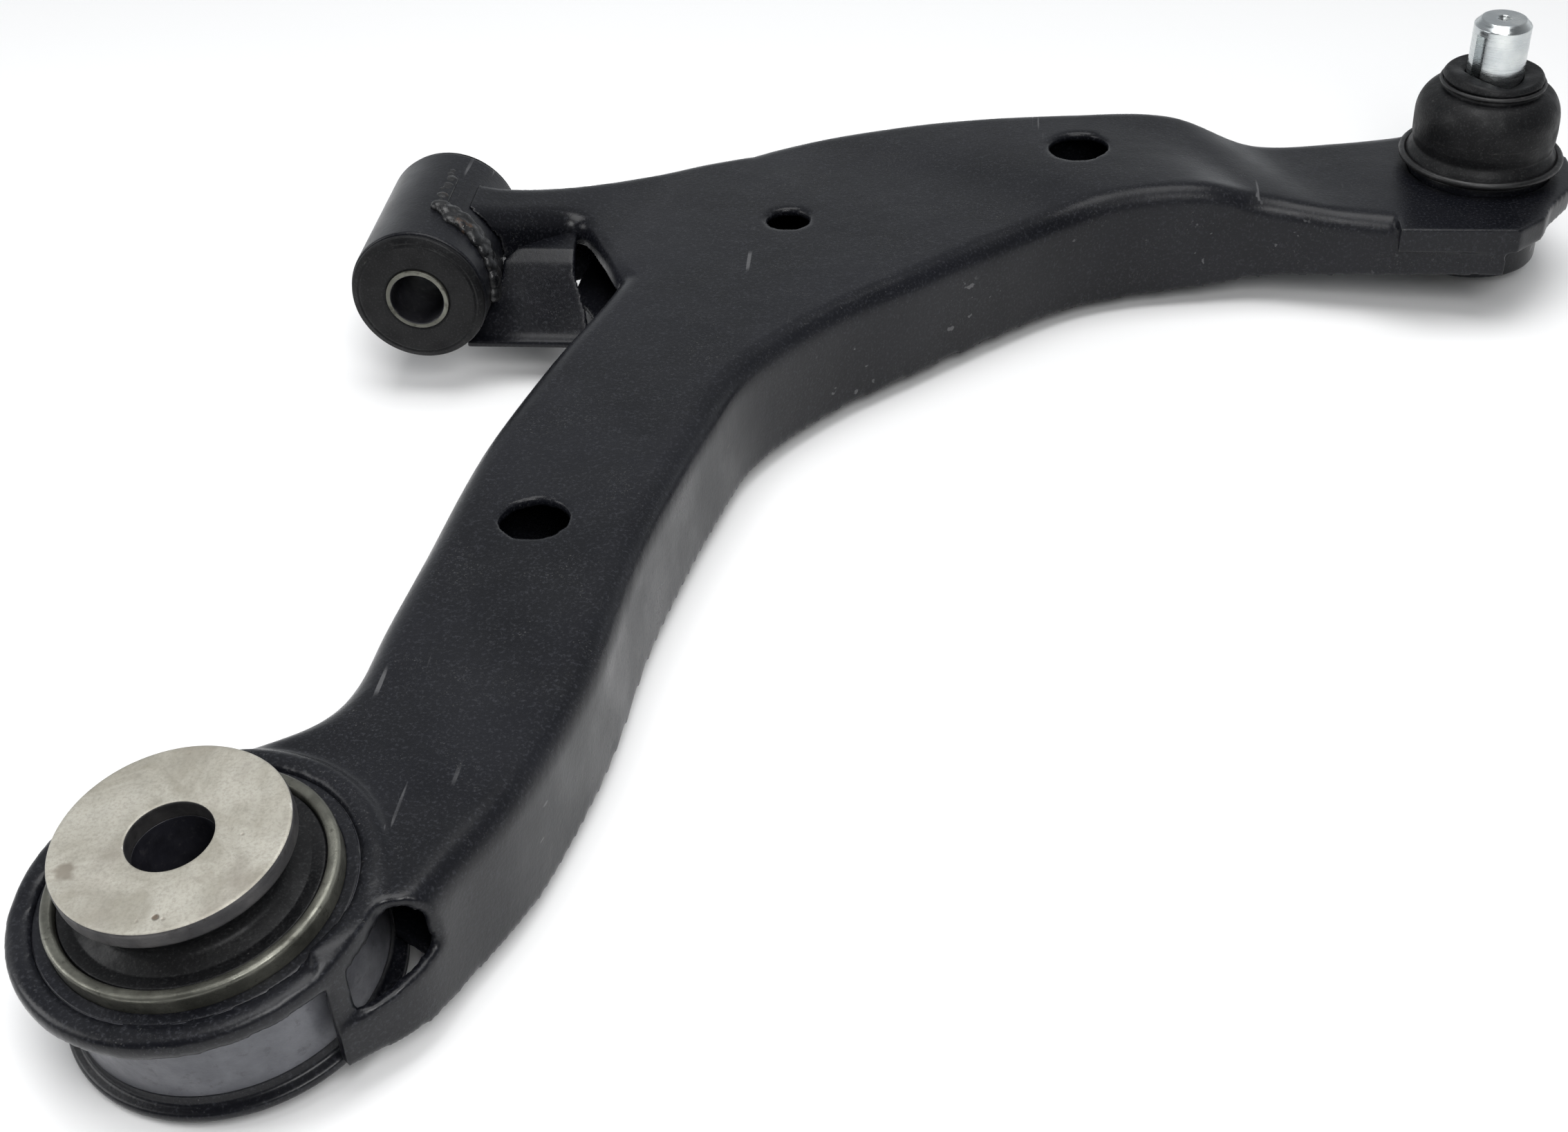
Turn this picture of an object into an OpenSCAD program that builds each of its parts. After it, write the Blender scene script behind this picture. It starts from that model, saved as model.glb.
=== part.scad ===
// Lower control arm: pressed-steel L-shaped arm with a horizontal front bush,
// a leaning vertical rear bush and a pinch-stud ball joint.
// Origin: centre of the front bush. +Y runs along its bore, +X points outboard
// to the ball joint, +Z is up.

/* [Arm layout] */
// Distance along Y from the front bush back to the rear bush
bush_spacing = 289; // [235:1:350]
// Distance along X from the pivot line out to the ball joint
reach = 335; // [275:1:405]
// How far forward of the front bush the ball joint sits
ball_lead = 68; // [50:1:86]
// Offset along X of the rear bush from the front bush axis
rear_x = 11; // [0:1:20]
// Height of the flat top of the arm above the front bush axis
plate_z = 4; // [0:0.5:10]

/* [Pressed shells] */
// Thickness of the pressed steel
sheet_t = 3; // [2:0.1:3.6]
// Radius of the rolled edge along the top of the arm
edge_r = 7; // [5:0.5:9]
// Height of the lower rim of the side walls
rim_z = -30; // [-36:1:-26]
// How far the side walls lean outwards, as a slope
wall_draft = 0; // [0:0.01:0.1]
// Rise of the raised pad around the outer hole
pad_rise = 3; // [0:0.5:5]
// Drop from the top of the arm down to the ball joint platform
platform_drop = 4; // [2:0.5:8]
// Diameter of the hole in the rear leg
leg_hole_d = 18; // [12:0.5:24]
// Diameter of the small locating hole
locating_hole_d = 13.4; // [8:0.2:18]
// Diameter of the hole in the raised pad
pad_hole_d = 19.3; // [12:0.1:24]

/* [Front bush] */
// Outer diameter of the welded front tube
front_tube_d = 42; // [36:0.5:50]
// Length of the welded front tube
front_tube_len = 55; // [45:1:66]
// Wall of the welded front tube
front_tube_wall = 3; // [2:0.25:4]
// Wall of the bush's own outer sleeve
front_sleeve_wall = 1.5; // [1:0.1:2]
// Bore of the front bush, for its pivot bolt
front_bore_d = 16.2; // [12.2:0.1:17]
// Wall of the inner sleeve
front_inner_wall = 1.6; // [1.2:0.1:3]
// How far the inner sleeve stands out of the tube at each end
front_inner_out = 3; // [2:0.5:6]

/* [Rear bush] */
// Diameter of the steel top washer
washer_d = 51.6; // [44:0.2:60]
// Thickness of the steel top washer
washer_t = 4.5; // [3:0.5:6]
// Bore of the rear bush, for its mounting bolt
rear_bore_d = 18.8; // [14:0.2:20]
// Height of the washer's top above the arm's top flange
washer_rise = 16.5; // [14:0.5:20]
// Outer diameter of the bush's outer can
can_d = 64; // [58:0.5:70]
// Wall of the bush's outer can
can_wall = 2; // [1.5:0.1:3]
// Wall of the housing tube that holds the can
housing_wall = 3; // [2:0.25:4]
// Height of the housing tube below the arm's top flange
housing_h = 31.5; // [26:0.5:38]
// Outer diameter of the top flange around the bush
flange_d = 82; // [78:0.5:92]
// Wall of the inner sleeve
rear_inner_wall = 4.2; // [3:0.1:6]
// Lean of the bush towards the rear, in degrees
lean_back = 6.1; // [0:0.5:9]
// Lean of the bush away from the ball joint, in degrees
lean_in = 4.3; // [0:0.1:8]

/* [Ball joint] */
// Diameter of the pinch stud
stud_d = 18; // [15:0.5:22]
// Height of the stud's end above the ball centre
stud_h = 57; // [52:1:66]
// Diameter of the ball
ball_d = 29; // [25:0.5:32]
// Outer diameter of the ball joint housing
joint_d = 46; // [42:0.5:54]
// Depth of the ball centre below the platform
ball_depth = 7; // [4:0.5:10]
// Wall of the plastic seat around the ball
seat_wall = 2.5; // [2:0.25:3.5]
// Wall of the rubber boot
boot_wall = 2; // [1.5:0.25:3]
// Greatest radius of the rubber boot
boot_r = 23; // [20:0.5:25]
// Height of the boot above the housing rim
boot_h = 30; // [26:1:34]

/* [Fits] */
// Gap between the ball and its seat, on the radius
ball_clearance = 0.05; // [0.02:0.01:0.1]
// Gap between a turning inner sleeve and the rubber around it, on the radius
sleeve_clearance = 0.02; // [0.01:0.01:0.1]
// Gap between the closing plate and the walls around it
plate_gap = 0.3; // [0.1:0.1:1]

/* [Hidden] */
$fn = 96;

// --- Layout -------------------------------------------------------------
ball = [reach, ball_lead];
platform_z = plate_z - platform_drop;
ball_z = platform_z - ball_depth;
rear_top = [rear_x - 1.5, -bush_spacing];
flange_z = plate_z - 1;
housing_d = can_d + 2 * housing_wall;
rear_inner_d = rear_bore_d + 2 * rear_inner_wall;
front_inner_d = front_bore_d + 2 * front_inner_wall;
front_sleeve_d = front_tube_d - 2 * front_tube_wall;
lip_h = 5;
lip_r = 4;
notch_h = 12;
tip_r = 31;
tip_side = 46;
tip_lip = 5;
ring_pitch = 0.25;
closing_from = 1.5;
closing_up = 11;
closing_over = 11;
closing_depth = 8;
tongue_seam_z = -6;
seam_from = 8;
seam_to = 14;
bracket_from = front_tube_d / 4;
bracket_to = 45;
bracket_inset = 7.5;
lip_drop = 2;
drain_hole_d = 10;
bead_r = 2.4;
bead_pitch = 2.6;
weld_angle = 14;
weld_end = 100;
weld_turn = 7;
weld_far = 16;
weld_near = -9;
ring_weld_from = 138;
ring_weld_angle = 178;
relief = 0.4;
lip_bead_d = 2.5;
lower_lip = 2;
can_rise = 3.5;
bottom_washer_t = 3;
neck_r = 12.5;
shank_r = 7;
stud_cyl = 22;
clamp_len = 14;
boot_land = 0.4;
notch_angle = 215;
notch_w = 4;
notch_depth = 2;

// A point given as per cent of the way from the rear bush to the ball joint
function at(u, v) = [rear_x + u / 100 * (reach - rear_x),
                     -bush_spacing + v / 100 * (bush_spacing + ball_lead)];

// Stations along the pressed arm, from the rear ring to the ball joint:
// [inner edge, outer edge, rise of the inner edge above plate_z, rise of the
//  outer edge, height of the inner rim, height of the outer rim]
inner_rim = rim_z + 4;
pocket_rim = plate_z - closing_depth + plate_gap;
stations = [
    [at(-8, 9), at(10.5, -6.2), 1.5, 1.5, inner_rim, rim_z + 5],
    [at(-5, 11), at(14.6, -2.3), 1.5, 1.5, inner_rim, rim_z + 3],
    [at(-0.5, 13.2), at(17, 3), 1.5, 1.5, inner_rim, rim_z + 1],
    [at(3.3, 16), at(19.5, 8.7), 1, 1, inner_rim, rim_z],
    [at(4.9, 20), at(21.3, 15.4), 0, 0, inner_rim, rim_z],
    [at(5.5, 26.5), at(22.8, 23.5), 0, 0, inner_rim, rim_z],
    [at(6.5, 35), at(23.8, 34.7), 0, 0, inner_rim, rim_z],
    [at(7.5, 44.5), at(25.4, 44), 0, 0, inner_rim, rim_z],
    [at(8.7, 51.5), at(27.2, 52), 0, 0, inner_rim, rim_z],
    [at(11.5, 62.5), at(29.8, 60.5), 0, 0, inner_rim, rim_z],
    [at(14.5, 72), at(36, 68.7), 0, 0, pocket_rim, rim_z],
    [at(17, 82.5), at(44, 75.7), 0, 0, pocket_rim, rim_z],
    [at(20.7, 95), at(51.5, 82), 0, 0, pocket_rim, rim_z],
    [at(29, 101.8), at(58.3, 87), 0, 0.5, inner_rim, rim_z],
    [at(43, 106), at(64.5, 89.5), pad_rise - 1.5, pad_rise, inner_rim, rim_z],
    [at(57.5, 107.3), at(72.5, 90.7), pad_rise, pad_rise, inner_rim, rim_z + 2],
    [at(68.3, 107.5), at(78, 91), pad_rise, -platform_drop / 2, inner_rim + 2, rim_z + 5],
    [at(76.8, 105.3), at(85, 89.8), -platform_drop, -platform_drop, inner_rim + 6, rim_z + 8],
    [at(86.5, 106), at(92.5, 88.4), -platform_drop, -platform_drop, inner_rim + 9, rim_z + 11],
    [at(95, 108), at(101, 87), -platform_drop, -platform_drop, inner_rim + 11, rim_z + 14]
];

// Smooth curve through the stations
function pick(q, i) = q[max(0, min(len(q) - 1, i))];
function smooth(a, b, c, d, t) =
    b + 0.5 * t * ((c - a) + t * ((2 * a - 5 * b + 4 * c - d) + t * (3 * (b - c) + d - a)));
function station(q, s) =
    let (i = min(len(q) - 2, floor(s)), t = s - i)
    smooth(pick(q, i - 1), pick(q, i), pick(q, i + 1), pick(q, i + 2), t);

// Channel section of one station: outer skin left to right, then inner skin back
edge_steps = 4;
function bend(r, side, w, t) = [for (k = [0 : edge_steps])
    let (q = 90 * k / edge_steps, a = side < 0 ? q : 90 - q)
    [side < 0 ? r - (r - t) * cos(a) : w - r + (r - t) * cos(a), (r - t) * sin(a) - r]];
function section(w, hl, hr, r, t) = concat(
    [[-hl * wall_draft, -hl]], bend(r, -1, w, 0), bend(r, 1, w, 0), [[w + hr * wall_draft, -hr]],
    [[w + hr * wall_draft - t, -hr]], [for (p = [len(bend(r, 1, w, t)) - 1 : -1 : 0]) bend(r, 1, w, t)[p]],
    [for (p = [edge_steps : -1 : 0]) bend(r, -1, w, t)[p]], [[t - hl * wall_draft, -hl]]);
function station_ring(list, s, r, t) =
    let (q = station(list, s), a = q[0], b = q[1], w = norm(b - a), e = (b - a) / w,
         za = plate_z + q[2], zb = plate_z + q[3], pts = section(w, za - q[4], zb - q[5], r, t))
    [for (p = pts) [a[0] + e[0] * p[0], a[1] + e[1] * p[0], za + (zb - za) * p[0] / w + p[1]]];

// A closed skin through rings of the same length, with flat caps made of strips
module skin(rings) {
    n = len(rings[0]);
    m = len(rings);
    half = n / 2;
    sides = [for (i = [0 : m - 2], j = [0 : n - 1], f = [0, 1])
        let (a = i * n + j, b = i * n + (j + 1) % n, c = a + n, d = b + n)
        f == 0 ? [a, c, b] : [b, c, d]];
    cap = [for (j = [0 : half - 2], f = [0, 1])
        f == 0 ? [j, j + 1, n - 1 - j] : [j + 1, n - 2 - j, n - 1 - j]];
    last = (m - 1) * n;
    polyhedron(concat([for (r = rings) each r]),
               concat(sides, cap, [for (c = cap) [c[2] + last, c[1] + last, c[0] + last]]));
}

module along_rear() {
    translate([rear_top[0], rear_top[1], flange_z + washer_rise])
        rotate([lean_back, -lean_in, 0])
            translate([0, 0, -washer_rise]) children();
}

module tube(d, bore, h) {
    difference() {
        cylinder(d = d, h = h);
        translate([0, 0, -1]) cylinder(d = bore, h = h + 2);
    }
}

// --- Pressed arm ----------------------------------------------------------
steel = [0.06, 0.06, 0.07];
last_station = len(stations) - 1;

// Tongue of the upper shell that reaches the front tube, listed as the stations are
tongue = [
    [[6, 16], [6, -10], 16.8, 16.8, 6, 6],
    [[18, 19.5], [18, -4], 11, 11, -2, -1],
    [[34, 33], [34, 9.5], 4.5, 4.5, inner_rim, pocket_rim],
    [[50, 44], [44, 12], 1.2, 1.2, inner_rim, pocket_rim],
    [[66, 53], [53, -3.5], 0, 0, inner_rim, pocket_rim],
    [[80, 60.5], [61.5, -21], 0, 0, inner_rim, pocket_rim],
    [[94, 66.5], [76, -34], 0, 0, inner_rim, pocket_rim]
];
tongue_end = len(tongue) - 1;

module tongue_skin() {
    skin([for (s = [0 : ring_pitch : tongue_end]) station_ring(tongue, s, edge_r - 1, sheet_t)]);
}

module front_tube_space(d) {
    translate([0, -front_tube_len, 0]) rotate([-90, 0, 0]) cylinder(d = d, h = 2 * front_tube_len);
}

// Room for the rear housing, wider around the rolled lip at its foot
module rear_space(gap) {
    along_rear() translate([0, 0, -2 * housing_h]) {
        cylinder(r = housing_d / 2 + gap, h = 4 * housing_h);
        cylinder(r = housing_d / 2 + lower_lip + lip_bead_d / 2 + relief + gap,
                 h = housing_h + lip_bead_d + relief + gap);
    }
}

module plate_hole(p, d) {
    translate([p[0], p[1], plate_z - 3 * sheet_t]) cylinder(d = d, h = 6 * sheet_t);
}

module upper_shell() {
    color(steel) difference() {
        union() {
            skin([for (s = [0 : ring_pitch : last_station]) station_ring(stations, s, edge_r, sheet_t)]);
            ring_flange();
            tip_plate();
        }
        front_tube_space(front_tube_d);
        rear_space(0);
        translate([ball[0], ball[1], platform_z - 30]) cylinder(d = joint_d, h = 60);
        wall_notch();
        plate_hole(at(14.7, 38.7), leg_hole_d);
        plate_hole(at(30.6, 86), locating_hole_d);
        plate_hole(at(59.3, 99.5), pad_hole_d);
    }
}

// Tongue of the upper shell, which runs off the arm's inner edge onto the front tube
module shell_tongue() {
    color(steel) difference() {
        tongue_skin();
        front_tube_space(front_tube_d);
        arm_plan(tongue_seam_z, 2 * front_tube_d, tongue_seam_z);
        arm_plan(-2 * front_tube_d, tongue_seam_z, inner_rim);
    }
}

// The arm's plan beside the tongue, clear of its leaning inner wall down to low_z
module arm_plan(from_z, to_z, low_z) {
    gap = plate_gap + (plate_z - low_z) * wall_draft;
    translate([0, 0, from_z]) linear_extrude(to_z - from_z)
        polygon(concat([for (s = [seam_from : ring_pitch : seam_to]) edge_point(station(stations, s), gap)],
                       [station(stations, seam_to)[1], station(stations, seam_from)[1]]));
}
function edge_point(q, gap) = q[0] - (q[1] - q[0]) / norm(q[1] - q[0]) * gap;

// Flat disc around the rear bush with its rim rolled down
module ring_flange() {
    along_rear() rotate_extrude()
        difference() {
            translate([0, -lip_h]) square([flange_d / 2, lip_h]);
            translate([0, -lip_h - 1]) square([flange_d / 2 - sheet_t, lip_h + 1 - sheet_t]);
            translate([flange_d / 2 - lip_r, -lip_r]) difference() {
                square(lip_r + 1);
                circle(lip_r);
            }
        }
}

// Opening between the rolled rim of the flange and the end of the outer wall
module wall_notch() {
    along_rear() translate([0, 0, -lip_h - notch_h]) linear_extrude(notch_h + 2 * lip_h) difference() {
        polygon([[flange_d / 2 - 3, 2], [flange_d / 2 + 12, 6], [flange_d / 2 + 12, -24], [20, -48]]);
        circle(d = flange_d);
    }
}

// Rounded end of the arm around the ball joint
module tip_outline(inset) {
    r = tip_r - inset;
    near = -tip_side + inset;
    circle(r = r);
    polygon([[-r, 0], [-r, near], [r * 0.2, near], [r * 0.5, near + 9], [r * 0.6, near + 17],
             [r * 0.88, near + 30], [r, 0]]);
}

module tip_plate() {
    translate([ball[0], ball[1], platform_z - sheet_t - tip_lip]) difference() {
        linear_extrude(sheet_t + tip_lip) tip_outline(0);
        translate([0, 0, -1]) linear_extrude(tip_lip + 1) tip_outline(sheet_t);
        translate([-tip_r - 1, -tip_side + sheet_t, -1]) cube([2 * sheet_t, 2 * tip_side, tip_lip + 1]);
    }
}

// Closing plate between the side walls, below the top of the arm and of the tongue
module lower_plate() {
    color(steel) difference() {
        union() {
            skin([for (s = [closing_from : ring_pitch : last_station - 1]) closing_ring(stations, s, 0)]);
            skin([for (s = [2.5 : ring_pitch : 5.5]) closing_ring(tongue, s, closing_over)]);
        }
        front_tube_space(front_tube_d + 2);
        rear_space(1);
        translate([ball[0], ball[1], platform_z - 60]) cylinder(d = joint_d + 1, h = 90);
        drain_hole(at(16, 50));
        drain_hole(at(45, 95));
    }
}

function closing_ring(list, s, over) =
    let (q = station(list, s), a = q[0], b = q[1], w = norm(b - a), e = (b - a) / w,
         top = plate_z + min(q[2], q[3]), low = over > 0 ? rim_z : q[5],
         z = min(low + closing_up, top - closing_depth), d = top - z,
         left = sheet_t + plate_gap - d * wall_draft, right = w - left + over)
    [for (p = [[left, z], [right, z], [right, z - sheet_t], [left, z - sheet_t]])
        [a[0] + e[0] * p[0], a[1] + e[1] * p[0], p[1]]];

module drain_hole(p) {
    translate([p[0], p[1], rim_z - 10]) cylinder(d = drain_hole_d, h = plate_z - rim_z);
}

// Pressed web that ties the front tube to the tongue's near wall
module front_bracket() {
    h = plate_z - sheet_t - 0.2;
    low = -front_tube_d / 2 + 0.5;
    near = -front_tube_len / 2 + bracket_inset;
    rise = h - low;
    color(steel) difference() {
        intersection() {
            translate([bracket_from, 0, 0]) rotate([90, 0, 90]) linear_extrude(bracket_to)
                polygon([[near, low - lip_drop], [near, low], [near + 3, low + 1], [near + rise - 3, h - 3],
                         [near + rise + 1, h], [near + rise + 22, h], [near + rise + 22, h - sheet_t],
                         [near + rise + 2, h - sheet_t], [near + rise - 1, h - 3 - sheet_t],
                         [near + 5, low + 1 - sheet_t], [near + sheet_t, low - sheet_t + 1],
                         [near + sheet_t, low - lip_drop]]);
            translate([0, 0, -2 * front_tube_d]) linear_extrude(4 * front_tube_d) bracket_outline();
        }
        front_tube_space(front_tube_d);
        tongue_skin();
    }
}

// Plan of the web: a free right edge, and a top edge that follows the middle of the tongue's near wall
module bracket_outline() {
    polygon(concat(
        [[0, -front_tube_d], [bracket_to + 6, -front_tube_d], [bracket_to + 3, -12], [bracket_to - 1, -4]],
        [for (s = [2.8 : -0.2 : 0])
            let (q = station(tongue, s), e = (q[0] - q[1]) / norm(q[0] - q[1])) q[1] + e * sheet_t / 2]));
}

// --- Front bush -------------------------------------------------------------
module along_front() {
    rotate([-90, 0, 0]) children();
}

module front_tube() {
    color(steel) along_front() translate([0, 0, -front_tube_len / 2])
        tube(front_tube_d, front_sleeve_d, front_tube_len);
}

module front_outer_sleeve() {
    color("dimgray") along_front() translate([0, 0, -front_tube_len / 2 + 1])
        tube(front_sleeve_d, front_sleeve_d - 2 * front_sleeve_wall, front_tube_len - 2);
}

module front_rubber() {
    inner = front_inner_d / 2 + sleeve_clearance;
    outer = front_sleeve_d / 2 - front_sleeve_wall;
    half = front_tube_len / 2;
    color([0.05, 0.05, 0.05]) along_front() rotate_extrude()
        polygon([[inner, -half - front_inner_out + 0.5], [front_tube_d / 2 - 2.5, -half - front_inner_out + 0.5],
                 [front_tube_d / 2 - 0.5, -half - 1.5], [front_tube_d / 2 - 0.5, -half],
                 [outer, -half], [outer, half],
                 [front_tube_d / 2 - 0.5, half], [front_tube_d / 2 - 0.5, half + 1.5],
                 [front_tube_d / 2 - 2.5, half + front_inner_out - 0.5], [inner, half + front_inner_out - 0.5]]);
}

module front_inner_sleeve() {
    color([0.5, 0.42, 0.3]) along_front() translate([0, 0, -front_tube_len / 2 - front_inner_out])
        tube(front_inner_d, front_bore_d, front_tube_len + 2 * front_inner_out);
}

// Weld bead where the tongue lies on the front tube: along its top, then down its near side
weld_row = [for (y = [weld_far : -bead_pitch : weld_near]) [weld_angle, y]];
weld_fall = [for (a = [weld_angle : weld_turn : weld_end]) [a, weld_near - (a - weld_angle) / 9]];

module front_tube_weld() {
    color([0.1, 0.1, 0.11]) difference() {
        for (p = concat(weld_row, weld_fall))
            rotate([0, p[0], 0]) translate([0, p[1], front_tube_d / 2 + 0.4]) sphere(r = bead_r);
        front_tube_space(front_tube_d);
        tongue_skin();
    }
}

// --- Rear bush --------------------------------------------------------------
module rear_housing() {
    color([0.3, 0.3, 0.32]) along_rear() rotate_extrude() {
        translate([can_d / 2, -housing_h]) square([housing_wall, housing_h - 1]);
        translate([can_d / 2, -housing_h]) square([housing_wall + lower_lip, lip_bead_d]);
        translate([can_d / 2 + housing_wall + lower_lip, -housing_h + lip_bead_d / 2]) circle(d = lip_bead_d);
    }
}

module rear_outer_can() {
    color([0.35, 0.3, 0.24]) along_rear() rotate_extrude() {
        translate([can_d / 2 - can_wall, -housing_h + 2]) square([can_wall, housing_h - 2 + can_rise - 1.5]);
        translate([can_d / 2 - can_wall - 3, can_rise - 3]) square([can_wall + 1.5, 3]);
        translate([can_d / 2 - 1.5, can_rise - 1.5]) circle(r = 1.5);
    }
}

module rear_rubber() {
    inner = rear_inner_d / 2 + sleeve_clearance;
    outer = can_d / 2 - can_wall;
    top = washer_rise - washer_t - sleeve_clearance;
    color([0.04, 0.04, 0.04]) along_rear() rotate_extrude()
        polygon([[inner, -housing_h + 3], [outer - 8, -housing_h + 3], [outer, -housing_h + 7],
                 [outer, can_rise - 3], [outer - 3, can_rise - 3], [outer - 3, can_rise - 0.5],
                 [outer - 8, can_rise + 1], [washer_d / 2 - 5, can_rise + 4], [washer_d / 2 - 3, top],
                 [inner, top]]);
}

module rear_inner_sleeve() {
    color([0.55, 0.53, 0.48]) along_rear() translate([0, 0, -housing_h - 1])
        tube(rear_inner_d, rear_bore_d, housing_h + 1 + washer_rise - washer_t);
}

module rear_top_washer() {
    color([0.66, 0.63, 0.55]) along_rear() translate([0, 0, washer_rise - washer_t]) rotate_extrude()
        polygon([[rear_bore_d / 2, 0], [washer_d / 2 - 0.6, 0], [washer_d / 2, 0.6],
                 [washer_d / 2, washer_t - 0.8], [washer_d / 2 - 0.8, washer_t], [rear_bore_d / 2, washer_t]]);
}

module rear_bottom_washer() {
    color([0.6, 0.58, 0.52]) along_rear() translate([0, 0, -housing_h - 1 - bottom_washer_t])
        tube(rear_inner_d + 14, rear_bore_d, bottom_washer_t);
}

// Weld bead under the top flange, around the housing tube
module rear_ring_weld() {
    color([0.1, 0.1, 0.11]) along_rear() rotate_extrude(angle = ring_weld_angle, start = ring_weld_from)
        polygon([[housing_d / 2, -sheet_t], [housing_d / 2 + 2.6, -sheet_t], [housing_d / 2 + 2, -sheet_t - 2],
                 [housing_d / 2, -sheet_t - 2.8]]);
}

// --- Ball joint -------------------------------------------------------------
module at_ball() {
    translate([ball[0], ball[1], ball_z]) children();
}

module joint_housing() {
    bore = ball_d + 2 * seat_wall;
    top = platform_z - ball_z + 2.5;
    bottom = -ball_d / 2 - seat_wall - 3;
    color([0.12, 0.12, 0.13]) at_ball() rotate_extrude()
        polygon([[bore / 2, bottom - 2.5], [joint_d / 2 - 1, bottom - 2.5], [joint_d / 2, bottom - 1],
                 [joint_d / 2, top - 1], [joint_d / 2 - 1, top], [neck_r + 1.5, top],
                 [neck_r, top - 1], [neck_r, ball_d / 4 + 1.5], [bore / 2, ball_d / 4 - 1.5]]);
}

module joint_weld() {
    color([0.1, 0.1, 0.11]) translate([ball[0], ball[1], platform_z - sheet_t]) rotate_extrude()
        polygon([[joint_d / 2, 0], [joint_d / 2 + 2.5, 0], [joint_d / 2 + 1.8, -1.8], [joint_d / 2, -2.6]]);
}

module ball_seat() {
    bore = ball_d / 2 + ball_clearance;
    color("ivory") at_ball() rotate_extrude() difference() {
        translate([0, -bore - 2]) square([ball_d / 2 + seat_wall, bore + 2 + ball_d / 4 - 1.5]);
        difference() {
            circle(r = bore);
            translate([-50, -50]) square([50, 100]);
        }
        translate([0, -bore - 3]) square([4, 6]);
    }
}

module ball_stud() {
    slot_z = stud_h - stud_cyl;
    clamp_z = stud_h - 2 - clamp_len;
    land_r = stud_d / 2 - boot_land;
    color([0.75, 0.76, 0.78]) at_ball() difference() {
        union() {
            sphere(d = ball_d);
            rotate_extrude()
                polygon([[0, 0], [shank_r, 0], [shank_r, slot_z - 8], [land_r, slot_z - 2],
                         [land_r, clamp_z - boot_land], [stud_d / 2, clamp_z], [stud_d / 2, stud_h - 2], [stud_d / 2 - 2, stud_h], [0, stud_h]]);
        }
        translate([0, 0, stud_h - 2.5]) cylinder(d1 = 0.5, d2 = 4.5, h = 2.6);
        rotate([0, 0, notch_angle]) translate([stud_d / 2 - notch_depth, -notch_w / 2, slot_z])
            cube([stud_d, notch_w, stud_cyl - 4]);
    }
}

// Snap ring that holds the end cover in the housing
module wedge_ring() {
    color("gray") at_ball() translate([0, 0, -ball_d / 2 - seat_wall - 5.4]) rotate_extrude(angle = 330)
        translate([ball_d / 2 + seat_wall - 2.6, 0]) square([2.6, 1.6]);
}

module end_cover() {
    color([0.15, 0.15, 0.16]) at_ball()
        translate([0, 0, -ball_d / 2 - seat_wall - 2.3]) rotate_extrude()
        polygon([[0, -1], [7, -1], [9, -1.5], [ball_d / 2 + seat_wall - 0.02, -1.5],
                 [ball_d / 2 + seat_wall - 0.02, 0], [0, 0]]);
}

// Rubber boot: a bell with a base bead and a collar around the stud
module boot() {
    z0 = platform_z + 2.6;
    collar = boot_r * 0.68;
    hug = stud_d / 2 + 0.3;
    color([0.03, 0.03, 0.03]) translate([ball[0], ball[1], z0]) rotate_extrude()
        polygon(concat(
            [[boot_r - boot_wall, 0], [boot_r + 1, 0], [boot_r + 1, 4], [boot_r - 0.5, 6], [boot_r, 9], [boot_r, 15]],
            [for (a = [10 : 10 : 70]) [collar + (boot_r - collar) * cos(a), 15 + (boot_h - 20) * sin(a)]],
            [[collar, boot_h - 5], [collar, boot_h - 1], [collar - 1.5, boot_h], [hug, boot_h],
             [hug, boot_h - 5.5], [collar - boot_wall, boot_h - 7]],
            [for (a = [60 : -10 : 10]) [collar + (boot_r - collar - boot_wall) * cos(a), 15 + (boot_h - 20 - boot_wall) * sin(a)]],
            [[boot_r - boot_wall, 14], [boot_r - boot_wall, 9]]));
}

module boot_lower_ring() {
    color([0.1, 0.1, 0.1]) translate([ball[0], ball[1], platform_z + 4.6]) rotate_extrude()
        translate([boot_r + 2.2, 0]) circle(d = 2.4);
}

module boot_upper_ring() {
    color([0.1, 0.1, 0.1]) translate([ball[0], ball[1], platform_z + 2.6 + boot_h - 3]) rotate_extrude()
        translate([boot_r * 0.68 + 0.7, 0]) circle(d = 1.4);
}

// Bead that joins the closing plate to the outer wall
module seam_weld() {
    color([0.1, 0.1, 0.11]) skin([for (s = [4 : ring_pitch : last_station - 2]) seam_ring(s)]);
}
function seam_ring(s) =
    let (q = closing_ring(stations, s, 0), e = (q[1] - q[0]) / norm(q[1] - q[0]), c = q[2], g = plate_gap)
    [c + e * g, c - e * 2.5, c - e * 1.5 - [0, 0, 1.6], c + e * g - [0, 0, 2.4]];

upper_shell();
shell_tongue();
lower_plate();
front_bracket();
front_tube();
front_outer_sleeve();
front_rubber();
front_inner_sleeve();
front_tube_weld();
rear_housing();
rear_outer_can();
rear_rubber();
rear_inner_sleeve();
rear_top_washer();
rear_bottom_washer();
rear_ring_weld();
joint_housing();
joint_weld();
ball_seat();
ball_stud();
wedge_ring();
end_cover();
boot();
boot_lower_ring();
boot_upper_ring();
seam_weld();
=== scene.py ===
import math
import random
import bmesh
import bpy
from mathutils import Matrix, Vector


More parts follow.
